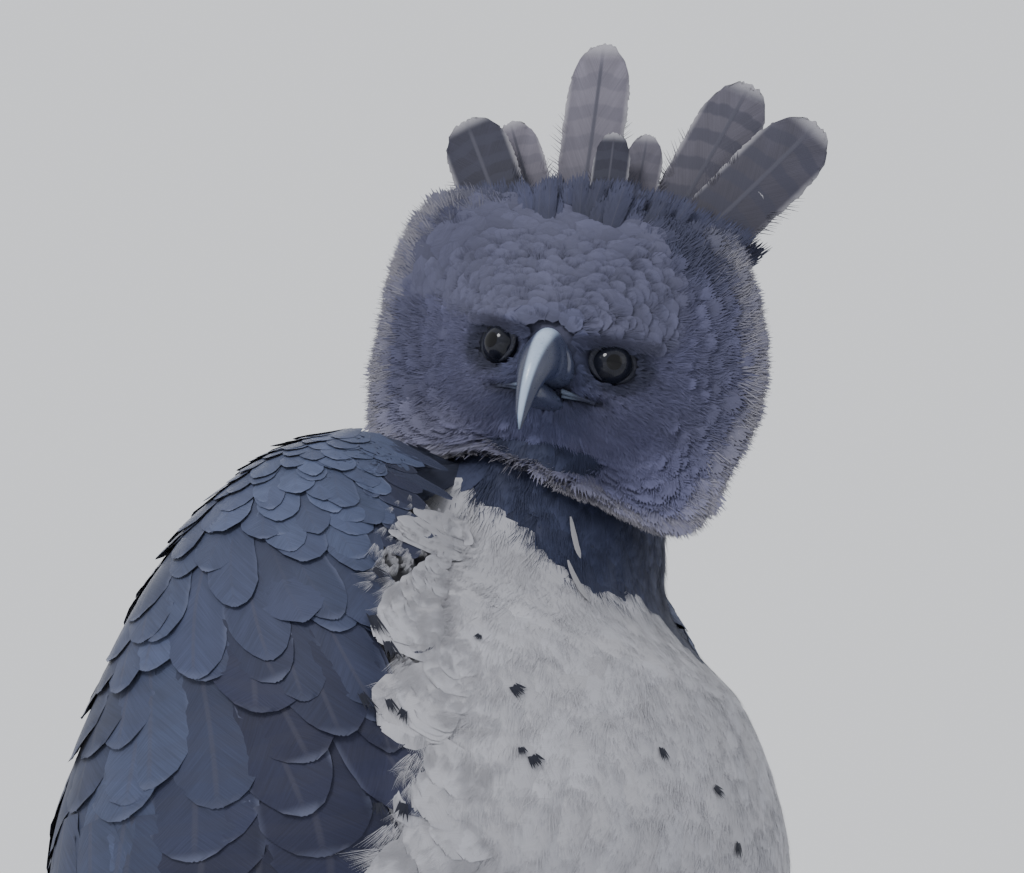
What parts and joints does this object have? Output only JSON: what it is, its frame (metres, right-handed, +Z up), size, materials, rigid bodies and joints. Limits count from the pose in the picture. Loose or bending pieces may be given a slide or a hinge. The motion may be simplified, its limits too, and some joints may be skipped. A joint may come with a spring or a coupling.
{
  "type": "harpy eagle model",
  "caption": "Life-size still model of a perched harpy eagle with raised crest and ruff, on a cut length of branch held by a plain display stand.",
  "frame": {"origin": "middle of the stand's flat underside, on the floor", "axes": "+Z up; the bird's breast faces -Y and its left side is +X; its head is turned to its right"},
  "size_m": [0.46, 0.5003, 0.9815],
  "materials": {
    "stand_wood": "satin dark wood",
    "stand_steel": "satin black steel",
    "bark": "rough bark",
    "breast_white": "soft white feathers with a few dark marks",
    "slate_band": "soft slate-black feathers",
    "head_grey": "soft lavender-grey feathers",
    "wing_slate": "slate feathers with pale edges",
    "tail_bars": "dark feathers with pale bars",
    "thigh_barred": "soft white feathers with fine dark bars",
    "leg_yellow": "matt scaled skin",
    "claw_black": "smooth dark horn",
    "bill_slate": "smooth slate horn",
    "eye_dark": "wet dark eye"
  },
  "bodies": {
    "root": {"stand_base": "stand_wood", "stand_rod_left": "stand_steel", "stand_rod_right": "stand_steel", "perch": "bark", "torso": "breast_white", "neck": "slate_band", "head": "head_grey", "wing_left": "wing_slate", "wing_right": "wing_slate", "tail": "tail_bars", "thigh_left": "thigh_barred", "thigh_right": "thigh_barred", "shank_left": "leg_yellow", "shank_right": "leg_yellow", "foot_left": "leg_yellow", "foot_right": "leg_yellow", "bill_upper": "bill_slate", "bill_lower": "bill_slate", "eye_left": "eye_dark", "eye_right": "eye_dark", "claw_left_inner": "claw_black", "claw_left_middle": "claw_black", "claw_left_outer": "claw_black", "claw_left_rear": "claw_black", "claw_right_inner": "claw_black", "claw_right_middle": "claw_black", "claw_right_outer": "claw_black", "claw_right_rear": "claw_black"}
  },
  "joints": []
}
